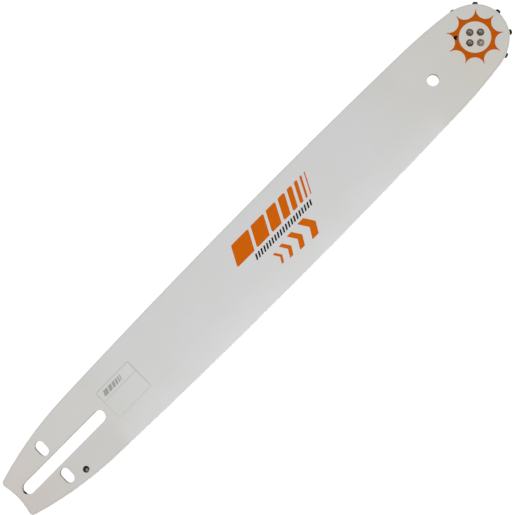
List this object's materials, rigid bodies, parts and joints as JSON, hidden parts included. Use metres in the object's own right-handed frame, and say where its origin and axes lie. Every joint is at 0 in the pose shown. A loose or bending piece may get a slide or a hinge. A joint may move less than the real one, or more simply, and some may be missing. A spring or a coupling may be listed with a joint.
{
  "type": "chainsaw guide bar",
  "caption": "Long flat steel bar of riveted and welded plates that carries a saw chain in an edge groove, with a slotted tail to clamp and a toothed wheel turning in its round nose.",
  "frame": {"origin": "middle of the bar's length on its long axis, on the plane the back face lies on", "axes": "+X along the bar to the nose, +Y across it, +Z out of the front face; it lies flat on its back face"},
  "size_m": [0.4404, 0.0568, 0.004],
  "materials": {
    "painted_plate": "satin light grey paint over steel, bare ground steel on the rails and hole walls",
    "bare_core": "bare rolled steel, lightly oiled",
    "dark_sprocket": "black oxide on hardened steel, worn lighter on the teeth",
    "bearing_steel": "ground and polished bearing steel, greased",
    "rivet_steel": "flush pressed rivet heads, dull and slightly brown",
    "orange_print": "flat orange screen print",
    "black_print": "flat black screen print",
    "grey_print": "thin grey screen print, worn at its lower left",
    "dried_grime": "dried black chain oil and dust"
  },
  "bodies": {
    "bar": {"side_plate_front": "painted_plate", "core_plate": "bare_core", "side_plate_back": "painted_plate", "bearing_inner_race": "bearing_steel", "nose_rivet_1": "rivet_steel", "nose_rivet_2": "rivet_steel", "nose_rivet_3": "rivet_steel", "nose_rivet_4": "rivet_steel"},
    "sprocket": {"nose_sprocket": "dark_sprocket"},
    "roller_set": {"bearing_roller_01": "bearing_steel", "bearing_roller_02": "bearing_steel", "bearing_roller_03": "bearing_steel", "bearing_roller_04": "bearing_steel", "bearing_roller_05": "bearing_steel", "bearing_roller_06": "bearing_steel", "bearing_roller_07": "bearing_steel", "bearing_roller_08": "bearing_steel", "bearing_roller_09": "bearing_steel", "bearing_roller_10": "bearing_steel", "bearing_roller_11": "bearing_steel", "bearing_roller_12": "bearing_steel", "bearing_roller_13": "bearing_steel", "bearing_roller_14": "bearing_steel", "bearing_roller_15": "bearing_steel", "bearing_roller_16": "bearing_steel", "bearing_roller_17": "bearing_steel", "bearing_roller_18": "bearing_steel", "bearing_roller_19": "bearing_steel", "bearing_roller_20": "bearing_steel", "bearing_roller_21": "bearing_steel", "bearing_roller_22": "bearing_steel", "bearing_roller_23": "bearing_steel", "bearing_roller_24": "bearing_steel", "bearing_roller_25": "bearing_steel", "bearing_roller_26": "bearing_steel", "bearing_roller_27": "bearing_steel"}
  },
  "joints": [
    {"name": "sprocket_spin", "type": "hinge", "parent": "bar", "child": "sprocket", "pos_m": [0.19642, 0, 0.002], "axis": [0, 0, 1], "continuous": true},
    {"name": "roller_orbit", "type": "hinge", "parent": "bar", "child": "roller_set", "pos_m": [0.19642, 0, 0.002], "axis": [0, 0, 1], "continuous": true}
  ],
  "couplings": [
    {"joint": "roller_orbit", "follows": "sprocket_spin", "ratio": 0.5589}
  ]
}
